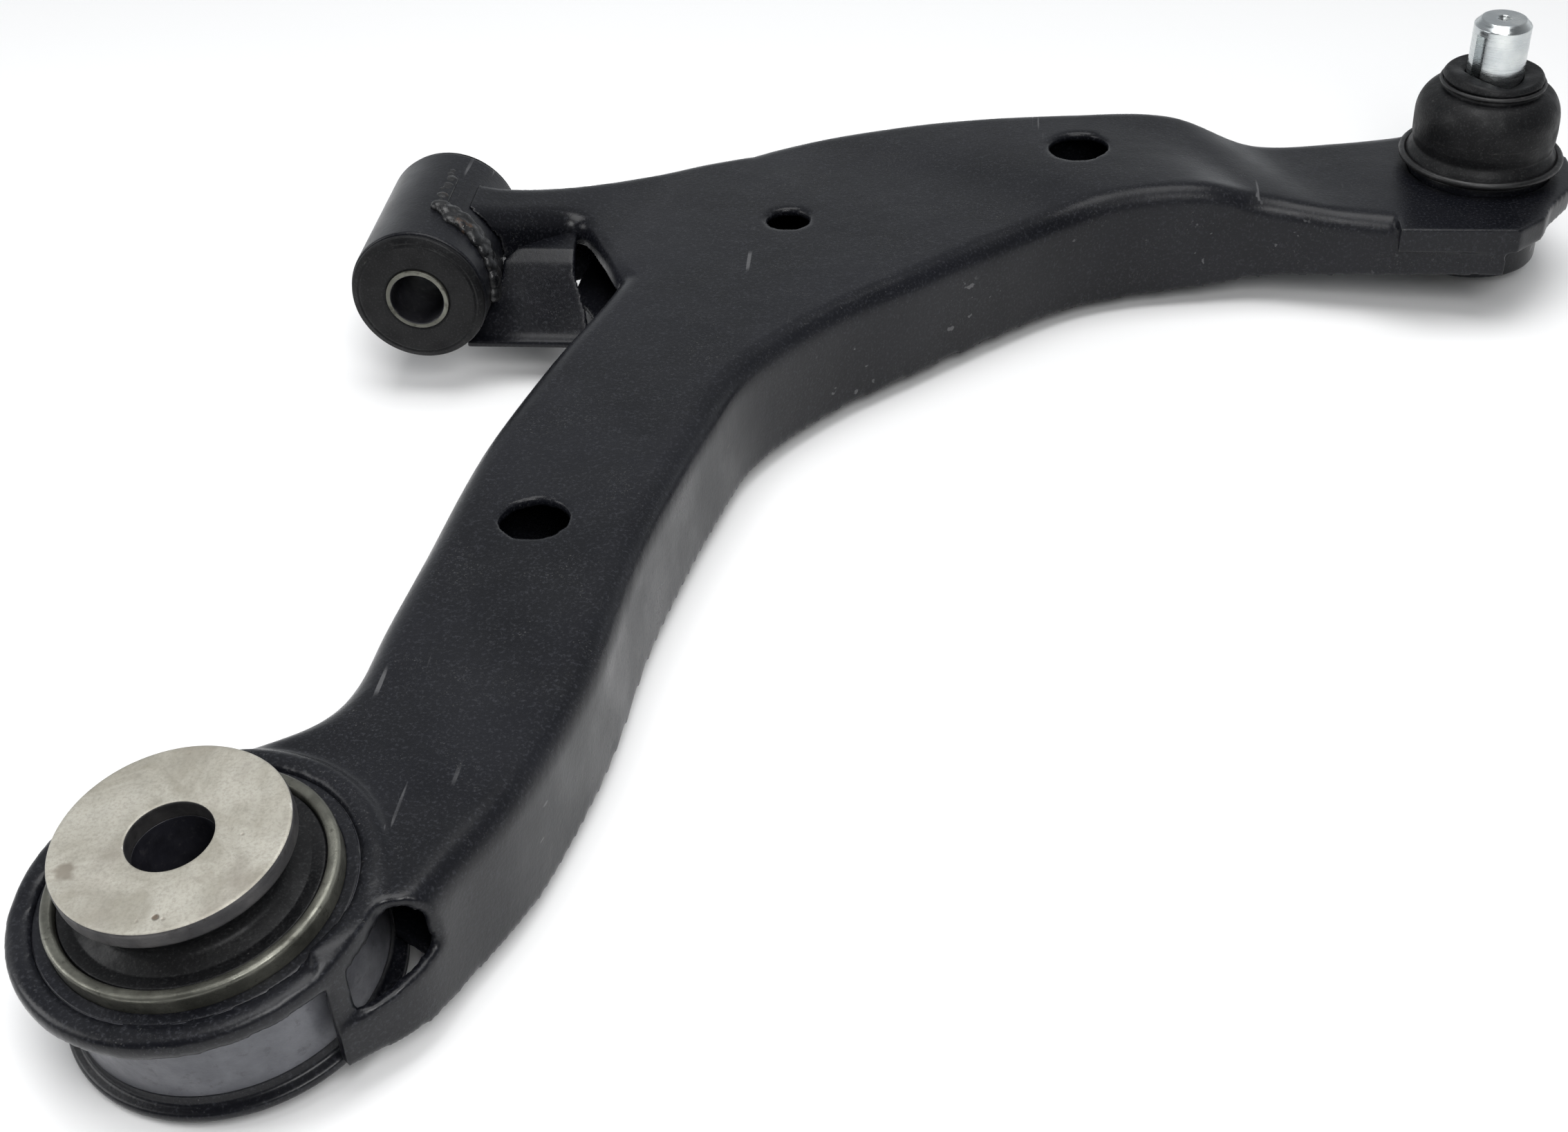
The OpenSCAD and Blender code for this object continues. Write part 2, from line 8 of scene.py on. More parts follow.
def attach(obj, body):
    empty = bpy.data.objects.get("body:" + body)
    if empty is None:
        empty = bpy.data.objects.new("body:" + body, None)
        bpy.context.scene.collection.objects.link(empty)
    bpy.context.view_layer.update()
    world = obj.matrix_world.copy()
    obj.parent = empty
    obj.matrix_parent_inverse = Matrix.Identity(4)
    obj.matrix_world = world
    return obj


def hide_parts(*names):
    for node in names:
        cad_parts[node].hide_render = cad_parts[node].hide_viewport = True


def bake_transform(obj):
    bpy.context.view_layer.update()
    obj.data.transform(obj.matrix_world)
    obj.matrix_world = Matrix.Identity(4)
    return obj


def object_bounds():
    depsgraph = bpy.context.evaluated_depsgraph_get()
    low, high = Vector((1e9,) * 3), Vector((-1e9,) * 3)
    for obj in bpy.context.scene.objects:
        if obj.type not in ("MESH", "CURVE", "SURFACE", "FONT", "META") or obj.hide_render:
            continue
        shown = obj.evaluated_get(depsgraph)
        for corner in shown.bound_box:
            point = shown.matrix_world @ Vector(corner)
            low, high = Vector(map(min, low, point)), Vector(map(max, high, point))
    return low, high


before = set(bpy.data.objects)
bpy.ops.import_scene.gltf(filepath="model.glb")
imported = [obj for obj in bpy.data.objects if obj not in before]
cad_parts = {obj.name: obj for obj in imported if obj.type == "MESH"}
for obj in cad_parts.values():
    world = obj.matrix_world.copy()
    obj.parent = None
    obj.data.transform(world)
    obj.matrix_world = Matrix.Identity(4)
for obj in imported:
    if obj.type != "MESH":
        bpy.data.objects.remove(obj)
cad_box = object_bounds()

# Sizes, in millimetres, as the CAD part has them
SPACING, REACH, LEAD, REAR_X = 289, 335, 68, 11  # bush to bush; ball joint out and ahead; rear bush's offset
PLATE_Z, SHEET, EDGE_R, RIM_Z = 4, 3, 7, -30
PAD, DROP = 3, 4  # the raised pad's height, and the platform's drop at the ball joint
TUBE_D, TUBE_LEN, TUBE_WALL, SLEEVE_WALL = 42, 55, 3, 1.5
FRONT_BORE, FRONT_INNER_D, FRONT_OUT = 16.2, 19.4, 3
WASHER_D, WASHER_T, REAR_BORE, RISE = 51.6, 4.5, 18.8, 16.5
CAN_D, CAN_WALL, HOUSING_WALL, HOUSING_H, FLANGE_D = 64, 2, 3, 31.5, 82
LIP_H, LIP_R, NOTCH_H = 5, 4, 12
REAR_INNER_D = REAR_BORE + 2 * 4.2
HOUSING_D = CAN_D + 2 * HOUSING_WALL
LIP_ROOM, LIP_FOOT, LIP_OUT = 3.65, 2.9, 3.2  # the housing's lower lip: room round it, height, overhang
STUD_D, STUD_H, BALL_D, JOINT_D, SEAT = 18, 57, 29, 46, 2.5
BOOT_WALL, BOOT_R, BOOT_H = 2, 23, 30
PLATFORM_Z = PLATE_Z - DROP
BOOT_Z = PLATFORM_Z + 2.6
SLOT_W, SLOT_H = 4, 18  # the pinch stud's side notch
BOOT_TURNS = 160
BALL = Vector((REACH, LEAD, PLATFORM_Z - 7))
TIP_R, TIP_SIDE, TIP_LIP = 31, 46, 5
THROUGH = 60  # how far a cutter reaches each way, right through the arm
REST = Matrix.Identity(4)
FRONT = Matrix.Rotation(math.radians(-90), 4, "X")
REAR = (Matrix.Translation((REAR_X - 1.5, -SPACING, PLATE_Z - 1 + RISE))
        @ Matrix.Rotation(math.radians(-4.3), 4, "Y") @ Matrix.Rotation(math.radians(6.1), 4, "X")
        @ Matrix.Translation((0, 0, -RISE)))
AT_BALL = Matrix.Translation(BALL)
MM = 0.001


# --- Mesh helpers: points in millimetres, objects in metres -------------------------------------------
def from_bmesh(name, bm):
    mesh = bpy.data.meshes.new(name)
    bm.to_mesh(mesh)
    bm.free()
    o = bpy.data.objects.new(name, mesh)
    bpy.context.scene.collection.objects.link(o)
    return o


def make(name, verts, faces, place=REST):
    bm = bmesh.new()
    vs = [bm.verts.new((place @ Vector(v)) * MM) for v in verts]
    for f in faces:
        if len(set(f)) > 2:
            bm.faces.new([vs[i] for i in dict.fromkeys(f)])
    bmesh.ops.remove_doubles(bm, verts=bm.verts, dist=1e-7)
    bmesh.ops.recalc_face_normals(bm, faces=bm.faces)
    return from_bmesh(name, bm)


def apply(o):
    """Turn the object's modifiers into its mesh."""
    bpy.context.view_layer.update()
    new = bpy.data.meshes.new_from_object(o.evaluated_get(bpy.context.evaluated_depsgraph_get()))
    o.modifiers.clear()
    old = o.data
    o.data = new
    bpy.data.meshes.remove(old)
    return o


def cut(o, cutters, operation="DIFFERENCE"):
    for c in cutters:
        m = o.modifiers.new("cut", "BOOLEAN")
        m.operation, m.solver, m.object = operation, "EXACT", c
        apply(o)
    return o


def gone(*objs):
    for o in objs:
        bpy.data.objects.remove(o)


def join(name, parts):
    bm = bmesh.new()
    for p in parts:
        bm.from_mesh(p.data)
    gone(*parts)
    return from_bmesh(name, bm)


def melt(o, voxel, rounds):
    """One closed skin round the joined solids, with its edges rounded off."""
    m = o.modifiers.new("melt", "REMESH")
    m.mode, m.voxel_size, m.use_smooth_shade = "VOXEL", voxel * MM, True
    if rounds:
        s = o.modifiers.new("soften", "SMOOTH")
        s.factor, s.iterations = 0.5, rounds
    return apply(o)


def smooth_shade(o, angle=40):
    for p in o.data.polygons:
        p.use_smooth = True
    o.data.set_sharp_from_angle(angle=math.radians(angle))
    return o


FILLET = 0.4


def rounded(points, steps=4):
    """A closed profile with its corners filleted: each point is (r, z) or (r, z, fillet)."""
    out, n = [], len(points)
    for i, p in enumerate(points):
        q = Vector(p[:2])
        a, b = Vector(points[i - 1][:2]) - q, Vector(points[(i + 1) % n][:2]) - q
        fillet = p[2] if len(p) > 2 else FILLET
        if fillet <= 0 or a.length < 1e-6 or b.length < 1e-6:
            out.append(q)
            continue
        half = a.angle(b) / 2
        if half > math.radians(84):
            out.append(q)
            continue
        t = min(fillet / math.tan(half), 0.45 * a.length, 0.45 * b.length)
        s, e = q + a.normalized() * t, q + b.normalized() * t
        for k in range(steps + 1):
            u = k / steps
            out.append(s * (1 - u) ** 2 + q * 2 * u * (1 - u) + e * u ** 2)
    held = []
    for i, p in enumerate(out):
        q = out[(i + 1) % len(out)]
        held.append(p)
        gap = (q - p).length
        if gap > 1.6:
            held += [p + (q - p) * (0.35 / gap), q + (p - q) * (0.35 / gap)]
    return held


def lathe(name, profile, place, turns=144, wobble=None):
    """A closed profile turned about the place's own Z."""
    pts = rounded(profile)
    n = len(pts)
    verts = []
    for k in range(turns):
        a = 2 * math.pi * k / turns
        for r, z in pts:
            r2, z2 = wobble(r, z, a) if wobble else (r, z)
            r2 = max(0.0, r2)
            verts.append((r2 * math.cos(a), r2 * math.sin(a), z2))
    faces = [(k * n + j, k * n + (j + 1) % n, (k + 1) % turns * n + (j + 1) % n, (k + 1) % turns * n + j)
             for k in range(turns) for j in range(n)]
    return smooth_shade(make(name, verts, faces, place))


def prism(outline, z0, z1, place=REST):
    n = len(outline)
    verts = [(x, y, z) for z in (z0, z1) for x, y in outline]
    faces = [(k, (k + 1) % n, n + (k + 1) % n, n + k) for k in range(n)]
    return make("prism", verts, faces + [tuple(range(n)), tuple(range(n, 2 * n))], place)


def circle(r, turns):
    angles = [2 * math.pi * k / turns for k in range(turns)]
    return [(r * math.cos(a), r * math.sin(a)) for a in angles]


def rod(r, z0, z1, place, turns=128):
    """A plain round cutter, used up by the cuts."""
    return prism(circle(r, turns), z0, z1, place)


def arc(r, z, wide, high, degrees):
    """Points of a lathe profile on an ellipse about (r, z), without fillets."""
    return [(r + wide * math.cos(math.radians(g)), z + high * math.sin(math.radians(g)), 0) for g in degrees]


def skin(name, rings):
    """A closed skin over rings of equal length, capped at both ends."""
    n, m = len(rings[0]), len(rings)
    faces = [(i * n + j, i * n + (j + 1) % n, (i + 1) * n + (j + 1) % n, (i + 1) * n + j)
             for i in range(m - 1) for j in range(n)]
    last = (m - 1) * n
    for j in range(n // 2 - 1):
        cap = (j, j + 1, n - 2 - j, n - 1 - j)
        faces += [cap, tuple(c + last for c in cap)]
    return make(name, [p for r in rings for p in r], faces)


def bead(name, path, radius, voxel, seed, flat=0.75):
    """A weld bead: overlapping lumps along a path of (point, outward direction), melted into one."""
    rnd = random.Random(seed)
    bm = bmesh.new()
    for p, up in path:
        r = radius * rnd.uniform(0.86, 1.14)
        turn = Vector(up).normalized().to_track_quat("Z", "Y").to_matrix().to_4x4()
        shift = Vector([rnd.uniform(-0.16, 0.16) * radius for _ in range(3)])
        place = Matrix.Translation((Vector(p) + shift) * MM) @ turn @ Matrix.Diagonal((1, 1, flat, 1))
        bmesh.ops.create_icosphere(bm, subdivisions=2, radius=r * MM, matrix=place)
    return melt(from_bmesh(name, bm), voxel, 2)


# --- The pressed arm's stations ----------------------------------------------------------------------
def at(u, v):
    """A point of the plan: u and v are per cent of the way out and forward, from rear bush to ball joint."""
    return Vector((REAR_X + u / 100 * (REACH - REAR_X), -SPACING + v / 100 * (SPACING + LEAD)))


INNER, POCKET = RIM_Z + 4, PLATE_Z - 7.7
# Each station: the top's left and right edge points, their rise over PLATE_Z, and the two walls' feet
STATIONS = [
    (at(-8, 9), at(10.5, -6.2), 1.5, 1.5, INNER, RIM_Z + 5),
    (at(-5, 11), at(14.6, -2.3), 1.5, 1.5, INNER, RIM_Z + 3),
    (at(-0.5, 13.2), at(17, 3), 1.5, 1.5, INNER, RIM_Z + 1),
    (at(3.3, 16), at(19.5, 8.7), 1, 1, INNER, RIM_Z),
    (at(4.9, 20), at(21.3, 15.4), 0, 0, INNER, RIM_Z),
    (at(5.5, 26.5), at(22.8, 23.5), 0, 0, INNER, RIM_Z),
    (at(6.5, 35), at(23.8, 34.7), 0, 0, INNER, RIM_Z),
    (at(7.5, 44.5), at(25.4, 44), 0, 0, INNER, RIM_Z),
    (at(8.7, 51.5), at(27.2, 52), 0, 0, INNER, RIM_Z),
    (at(11.5, 62.5), at(29.8, 60.5), 0, 0, INNER, RIM_Z),
    (at(14.5, 72), at(36, 68.7), 0, 0, POCKET, RIM_Z),
    (at(17, 82.5), at(44, 75.7), 0, 0, POCKET, RIM_Z),
    (at(20.7, 95), at(51.5, 82), 0, 0, POCKET, RIM_Z),
    (at(29, 101.8), at(58.3, 87), 0, 0.5, INNER, RIM_Z),
    (at(43, 106), at(64.5, 89.5), PAD - 1.5, PAD, INNER, RIM_Z),
    (at(57.5, 107.3), at(72.5, 90.7), PAD, PAD, INNER, RIM_Z + 2),
    (at(68.3, 107.5), at(78, 91), PAD, -DROP / 2, INNER + 2, RIM_Z + 5),
    (at(76.8, 105.3), at(85, 89.8), -DROP, -DROP, INNER + 6, RIM_Z + 8),
    (at(86.5, 106), at(92.5, 88.4), -DROP, -DROP, INNER + 9, RIM_Z + 11),
    (at(95, 108), at(101, 87), -DROP, -DROP, INNER + 11, RIM_Z + 14)]
TONGUE = [
    (Vector((6, 16)), Vector((6, -10)), 16.8, 16.8, 6, 6),
    (Vector((18, 19.5)), Vector((18, -4)), 11, 11, -2, -1),
    (Vector((34, 33)), Vector((34, 9.5)), 4.5, 4.5, INNER, POCKET),
    (Vector((50, 44)), Vector((44, 12)), 1.2, 1.2, INNER, POCKET),
    (Vector((66, 53)), Vector((53, -3.5)), 0, 0, INNER, POCKET),
    (Vector((80, 60.5)), Vector((61.5, -21)), 0, 0, INNER, POCKET),
    (Vector((94, 66.5)), Vector((76, -34)), 0, 0, INNER, POCKET)]


def station(q, s):
    """The station at s, on a smooth curve through the fixed ones."""
    i = min(len(q) - 2, int(s))
    t = s - i
    a, b, c, d = (q[max(0, min(len(q) - 1, i + k))] for k in (-1, 0, 1, 2))
    out = []
    for A, B, C, D in zip(a, b, c, d):
        out.append(B + 0.5 * t * ((C - A) + t * ((2 * A - 5 * B + 4 * C - D) + t * (3 * (B - C) + D - A))))
    return out


def ring(q, s, r, t, steps=10):
    """The arm's pressed section at s: top and two walls, with edge radius r and sheet thickness t."""
    a, b, ra, rb, fa, fb = station(q, s)
    w = (b - a).length
    e = (b - a) / w
    za, zb = PLATE_Z + ra, PLATE_Z + rb
    quarter = [math.radians(90 * k / steps) for k in range(steps + 1)]

    def bends(u):
        left = [(r - (r - u) * math.cos(g), (r - u) * math.sin(g) - r) for g in quarter]
        right = [(w - r + (r - u) * math.cos(g), (r - u) * math.sin(g) - r) for g in reversed(quarter)]
        middle = [(r + (w - 2 * r) * k / 8, -u) for k in range(1, 8)]
        return left + middle + right

    pts = ([(0, fa - za)] + bends(0) + [(w, fb - zb)] + [(w - t, fb - zb)] + bends(t)[::-1] + [(t, fa - za)])
    return [(a.x + e.x * p, a.y + e.y * p, za + (zb - za) * p / w + z) for p, z in pts]


def steps_of(a, b, n):
    return [a + (b - a) * k / n for k in range(n + 1)]


def arm_cutters(grow=0.0):
    return [rod(TUBE_D / 2 + grow, -TUBE_LEN, TUBE_LEN, FRONT),
            rod(HOUSING_D / 2 + grow, -THROUGH - 3, THROUGH + 3, REAR),
            rod(JOINT_D / 2 + grow / 2, -THROUGH, THROUGH, AT_BALL)]


def lip_cutter(grow=0.0):
    return rod(HOUSING_D / 2 + LIP_ROOM + grow, -THROUGH - 3, -HOUSING_H + LIP_FOOT + grow, REAR)


def hole(p, d):
    return rod(d / 2, PLATE_Z - 9, PLATE_Z + 9, Matrix.Translation((p.x, p.y, 0)), 96)


# --- Upper shell -------------------------------------------------------------------------------------
def tip_outlines(inset):
    r, near = TIP_R - inset, -TIP_SIDE + inset
    side = [(-r, 0), (-r, near), (r * 0.2, near), (r * 0.5, near + 9), (r * 0.6, near + 17),
            (r * 0.88, near + 30), (r, 0)]
    return circle(r, 128), side


def upper_shell():
    parts = [skin("main", [ring(STATIONS, s, EDGE_R, SHEET) for s in steps_of(0, 19, 152)]),
             skin("tongue", [ring(TONGUE, s, EDGE_R - 1, SHEET) for s in steps_of(0, 6, 60)])]
    half = FLANGE_D / 2
    parts.append(lathe("flange", [
        (30, 0, 0), (half, 0, LIP_R), (half, -LIP_H, 0.5), (half - SHEET, -LIP_H, 0.5),
        (half - SHEET, -SHEET, 1), (30, -SHEET, 0)], REAR))
    tip = Matrix.Translation((BALL.x, BALL.y, PLATFORM_Z - SHEET - TIP_LIP))
    inner = [prism(o, -1, TIP_LIP, tip) for o in tip_outlines(SHEET)]
    inner.append(prism([(-TIP_R - 1, -TIP_SIDE + SHEET), (-TIP_R + 5, -TIP_SIDE + SHEET),
                        (-TIP_R + 5, TIP_SIDE), (-TIP_R - 1, TIP_SIDE)], -1, TIP_LIP, tip))
    for o in tip_outlines(0):
        parts.append(cut(prism(o, 0, SHEET + TIP_LIP, tip), inner))
    gone(*inner)
    notch = prism([(half - 3, -6), (half + 12, -2), (half + 12, -24), (20, -48)],
                  -LIP_H - NOTCH_H, LIP_H, REAR)
    disc = rod(half, -THROUGH, THROUGH, REAR)
    cut(notch, [disc])
    gone(disc)
    cutters = arm_cutters() + [notch, lip_cutter(), hole(at(14.7, 38.7), 18), hole(at(30.6, 86), 13.4),
                               hole(at(59.3, 99.5), 19.3)]
    for p in parts:
        cut(p, cutters)
    gone(*cutters)
    return melt(join("arm_upper_shell", parts), 1.0, 6)


def closing(q, s, over=0.0):
    """Where the closing plate lies at s: its origin, direction, left and right ends, and height."""
    a, b, ra, rb, fa, fb = station(q, s)
    w = (b - a).length
    e = (b - a) / w
    z = min((RIM_Z if over else fb) + 11, PLATE_Z + min(ra, rb) - 8)
    left = SHEET + 0.3
    return a, e, left, w - left + over, z


def lower_plate():
    parts = []
    for q, over, along in ((STATIONS, 0, steps_of(1.5, 18, 132)), (TONGUE, 11, steps_of(2.5, 5.5, 28))):
        rings = []
        for s in along:
            a, e, left, right, z = closing(q, s, over)
            across = [left + (right - left) * k / 6 for k in range(7)]
            rings.append([(a.x + e.x * p, a.y + e.y * p, z) for p in across]
                         + [(a.x + e.x * p, a.y + e.y * p, z - SHEET) for p in reversed(across)])
        parts.append(skin("closing", rings))
    cutters = arm_cutters(1.0) + [lip_cutter(1.0)]
    for p in (at(16, 50), at(45, 95)):
        cutters.append(rod(5, RIM_Z - 10, PLATE_Z - 10, Matrix.Translation((p.x, p.y, 0)), 64))
    for p in parts:
        cut(p, cutters)
    gone(*cutters)
    return melt(join("arm_lower_plate", parts), 1.1, 3)


def front_bracket():
    h, low = PLATE_Z - SHEET - 0.2, -TUBE_D / 2 + 0.5
    near = -TUBE_LEN / 2 + 7.5
    rise = h - low
    side = [(near, low - 2), (near, low), (near + 3, low + 1), (near + rise - 3, h - 3), (near + rise + 1, h),
            (near + rise + 22, h), (near + rise + 22, h - SHEET), (near + rise + 2, h - SHEET),
            (near + rise - 1, h - 3 - SHEET), (near + 5, low + 1 - SHEET), (near + SHEET, low - SHEET + 1),
            (near + SHEET, low - 2)]
    place = Matrix(((0, 0, 1, 0), (1, 0, 0, 0), (0, 1, 0, 0), (0, 0, 0, 1)))
    o = prism(side, TUBE_D / 4, TUBE_D / 4 + 45, place)
    o.name = "arm_front_bracket"
    plan = [(0, -TUBE_D), (51, -TUBE_D), (49.6, -22), (48, -12), (44, -4)]
    for s in steps_of(2.8, 0, 14):
        a, b = station(TONGUE, s)[:2]
        c = b + (a - b).normalized() * SHEET / 2
        plan.append((c.x, c.y))
    web = prism(plan, -80, 80)
    cut(o, [web], "INTERSECT")
    tube = rod(TUBE_D / 2, -TUBE_LEN, TUBE_LEN, FRONT)
    cut(o, [tube])
    gone(tube, web)
    return melt(o, 0.7, 5)


def tube_weld_path():
    """Down the near side of the tongue's end, and faintly along its top."""
    path = []
    for k in range(30):
        g = math.radians(12 + 1.5 * math.sin(k * 1.1))
        up = Vector((math.sin(g), 0, math.cos(g)))
        path.append((up * (TUBE_D / 2 - 1.9) + Vector((0, 17 - 0.9 * k, 0)), up))
    for k in range(54):
        g = math.radians(14 + 1.65 * k)
        up = Vector((math.sin(g), 0, math.cos(g)))
        sway = 0.9 * math.sin(k * 0.9)
        path.append((up * (TUBE_D / 2 + 0.5) + Vector((0, -9.6 - 0.16 * k + sway, 0)), up))
        if k > 6:
            path.append((up * (TUBE_D / 2 + 0.3) + Vector((0, -12.2 - 0.14 * k - sway, 0)), up))
    return path


def circle_path(r, z, place, first, last, n):
    spin = place.to_3x3()
    out = []
    for k in range(n + 1):
        a = math.radians(first + (last - first) * k / n)
        d = Vector((math.cos(a), math.sin(a), 0))
        out.append((place @ (d * r + Vector((0, 0, z))), spin @ (d + Vector((0, 0, -0.6)))))
    return out


def seam_path():
    out = []
    for s in steps_of(4, 17, 300):
        a, e, left, right, z = closing(STATIONS, s)
        out.append(((a.x + e.x * (right - 0.6), a.y + e.y * (right - 0.6), z - SHEET - 0.4), (0, 0, -1)))
    return out


# --- Round pieces ------------------------------------------------------------------------------------
def front_bush():
    half, outer = TUBE_LEN / 2, TUBE_D / 2
    inner = FRONT_INNER_D / 2 + 0.02
    bore = outer - TUBE_WALL - SLEEVE_WALL
    lathe("front_bush_tube", [(outer - TUBE_WALL, -half, 0.5), (outer, -half, 0.9), (outer, half, 0.9),
                              (outer - TUBE_WALL, half, 0.5)], FRONT)
    face = [(inner, -half - 2.2, 0.3), (10.6, -half - 2.5, 0.5), (17.6, -half - 2.5, 0.8),
            (18.2, -half - 2.1, 0.3), (18.7, -half - 2.3, 0.4), (20.5, -half - 1.5, 0.7),
            (20.5, -half - 0.1, 0.3), (bore, -half - 0.1, 0)]
    lathe("front_bush_rubber", face + [(r, -z, *f) for r, z, *f in reversed(face)], FRONT)
    end = half + FRONT_OUT
    lathe("front_bush_sleeve", [(FRONT_BORE / 2, -end, 0.5), (FRONT_INNER_D / 2, -end, 0.35),
                                (FRONT_INNER_D / 2, end, 0.35), (FRONT_BORE / 2, end, 0.5)], FRONT)


def rear_bush():
    h, w = HOUSING_D / 2, CAN_D / 2
    lathe("rear_bush_housing", [
        (w, -HOUSING_H, 0.4), (h + LIP_OUT, -HOUSING_H, 1.2), (h + LIP_OUT, -HOUSING_H + 2.5, 1.1),
        (h + 0.6, -HOUSING_H + LIP_FOOT, 1.2), (h, -HOUSING_H + 5, 1), (h, -1, 0.5), (w, -1, 0.3)], REAR)
    lathe("rear_bush_can", [
        (w - CAN_WALL, -HOUSING_H + 2, 0.3), (w, -HOUSING_H + 2, 0.3), (w, 3.5, 1.2),
        (w - CAN_WALL - 0.8, 3.4, 0.9), (w - CAN_WALL - 1.1, 1.6, 0.5), (w - CAN_WALL, 0.4, 0.5)], REAR)
    inner, outer, top = REAR_INNER_D / 2 + 0.02, w - CAN_WALL, RISE - WASHER_T - 0.02
    lathe("rear_bush_rubber", [
        (inner, -HOUSING_H + 3, 0.6), (outer - 8, -HOUSING_H + 3, 2), (outer, -HOUSING_H + 7, 1),
        (outer, 0.3, 0.3), (outer - 1.2, 1.4, 0.3), (outer - 1.4, 2.5, 0.4), (outer - 4.5, 2.3, 1),
        (outer - 8.5, 4.2, 2), (WASHER_D / 2 - 4.6, 6.4, 2), (WASHER_D / 2 - 2.6, top, 1.4),
        (inner, top, 0.2)], REAR)
    foot, seat = -HOUSING_H - 1, RISE - WASHER_T
    bore, core, washer = REAR_BORE / 2, REAR_INNER_D / 2, WASHER_D / 2
    lathe("rear_bush_sleeve", [
        (bore, foot, 0.5), (core, foot, 0.5), (core, seat, 0.2), (bore, seat, 0.2)], REAR)
    lathe("rear_bush_washer", [
        (bore, seat, 0.3), (washer, seat, 0.7), (washer, RISE, 0.9), (bore, RISE, 0.6)], REAR)
    lathe("rear_bush_foot", [
        (bore, foot - 3, 0.4), (core + 7, foot - 3, 0.7), (core + 7, foot, 0.7), (bore, foot, 0.3)], REAR)


def darken(o, place, pick):
    """Give the second material to the faces that pick(r, z, outward) chooses, in the piece's own frame."""
    back = place.inverted()
    spin = back.to_3x3()
    for f in o.data.polygons:
        c, n = back @ (f.center / MM), spin @ f.normal
        r = math.hypot(c.x, c.y)
        if pick(r, c.z, (n.x * c.x + n.y * c.y) / max(r, 0.01)):
            f.material_index = 1


def ball_joint():
    bore, top, bottom = BALL_D / 2 + SEAT, 9.5, -BALL_D / 2 - SEAT - 3
    lathe("joint_body", [
        (bore, bottom - 2.5, 0.5), (JOINT_D / 2, bottom - 2.5, 1.3), (JOINT_D / 2, top, 1),
        (12.5, top, 1), (12.5, BALL_D / 4 + 1.5, 0.4), (bore, BALL_D / 4 - 1.5, 0.4)], AT_BALL)
    lathe("joint_cover", [
        (0, bottom + 0.7, 0), (6.5, bottom + 0.7, 0.6), (8.5, bottom + 0.2, 0.6),
        (bore - 0.02, bottom - 0.5, 0.3), (bore - 0.02, bottom + 0.7, 0.3),
        (9.4, bottom + 0.9, 0.5), (7, bottom + 1.4, 0.5), (0, bottom + 1.4, 0)], AT_BALL)
    s = STUD_D / 2
    neck = STUD_H - 22
    ball = arc(0, 0, BALL_D / 2, BALL_D / 2, range(-85, 61, 5))
    stud = lathe("stud", [(0, -BALL_D / 2, 0)] + ball + [
        (7, 13.2, 0.6), (7, neck - 8, 2), (s, neck - 2, 1), (s, STUD_H - 2, 0.5), (s - 2, STUD_H, 0.5),
        (2.3, STUD_H, 0.3), (0.5, STUD_H - 2.4, 0.2), (0, STUD_H - 2.5, 0)], AT_BALL, 128)
    turn = AT_BALL @ Matrix.Rotation(math.radians(215), 4, "Z")
    side = SLOT_W / 2
    slot = prism([(s - 2, -side), (s + 9, -side), (s + 9, side), (s - 2, side)], neck, neck + SLOT_H, turn)
    cut(stud, [slot])
    gone(slot)
    smooth_shade(stud, 35)
    # The slot's inner faces and the end face take the stud's darker second material: in the deep slot it is
    # painted shade, and it makes the end face darker than the zinc
    inv = turn.inverted()
    for f in stud.data.polygons:
        c = inv @ (f.center / MM)
        r = math.hypot(c.x, c.y)
        in_slot = c.x > 0 and abs(c.y) < side + 0.05 and neck - 0.1 < c.z < neck + SLOT_H + 0.1
        if (in_slot and r < s - 0.12) or (c.z > STUD_H - 2.6 and r < s - 1.7):
            f.material_index = 1
    boot(s)


def boot(s):
    place = Matrix.Translation((BALL.x, BALL.y, BOOT_Z))
    collar, hug, mid, wall = BOOT_R * 0.68, s + 0.3, 12, BOOT_R - BOOT_WALL
    wide, high = BOOT_R - collar, BOOT_H - 20
    dome = arc(collar, 15, wide, high, range(8, 75, 6))
    inside = arc(collar, 15, wide - BOOT_WALL, high - BOOT_WALL, range(66, 5, -6))
    lathe("boot_lower", [
        (wall, 0, 0.4), (BOOT_R + 1, 0, 0.8), (BOOT_R + 1.6, 1.6, 0.8), (BOOT_R + 0.6, 4, 1),
        (BOOT_R - 0.7, 6, 1.5), (BOOT_R - 0.1, 9, 2), (BOOT_R, mid, 0), (wall, mid, 0),
        (wall, 8, 0.5)], place, BOOT_TURNS)
    lathe("boot_upper", [(BOOT_R, mid, 0), (BOOT_R, 14.5, 0.5)] + dome + [
        (collar + 0.2, BOOT_H - 5, 0.8), (collar - 0.5, BOOT_H - 3.4, 0.6), (collar + 0.4, BOOT_H - 1.6, 0.8),
        (collar - 0.6, BOOT_H, 1.2), (hug + 1.6, BOOT_H - 0.6, 0.6), (hug, BOOT_H - 1.4, 0.4),
        (hug, BOOT_H - 5.5, 0.6), (collar - BOOT_WALL, BOOT_H - 7, 0.6)] + inside + [
        (wall, 14, 0.4), (wall, mid, 0)], place, BOOT_TURNS, wobble=lip)
    lathe("boot_clip", arc(BOOT_R + 2.2, 2.0, 1.2, 1.2, range(0, 360, 30)), place, BOOT_TURNS)
    lathe("boot_spring", arc(collar + 0.5, BOOT_H - 3.1, 0.7, 0.7, range(0, 360, 30)), place, BOOT_TURNS)


def clamp(x):
    return max(0.0, min(1.0, x))


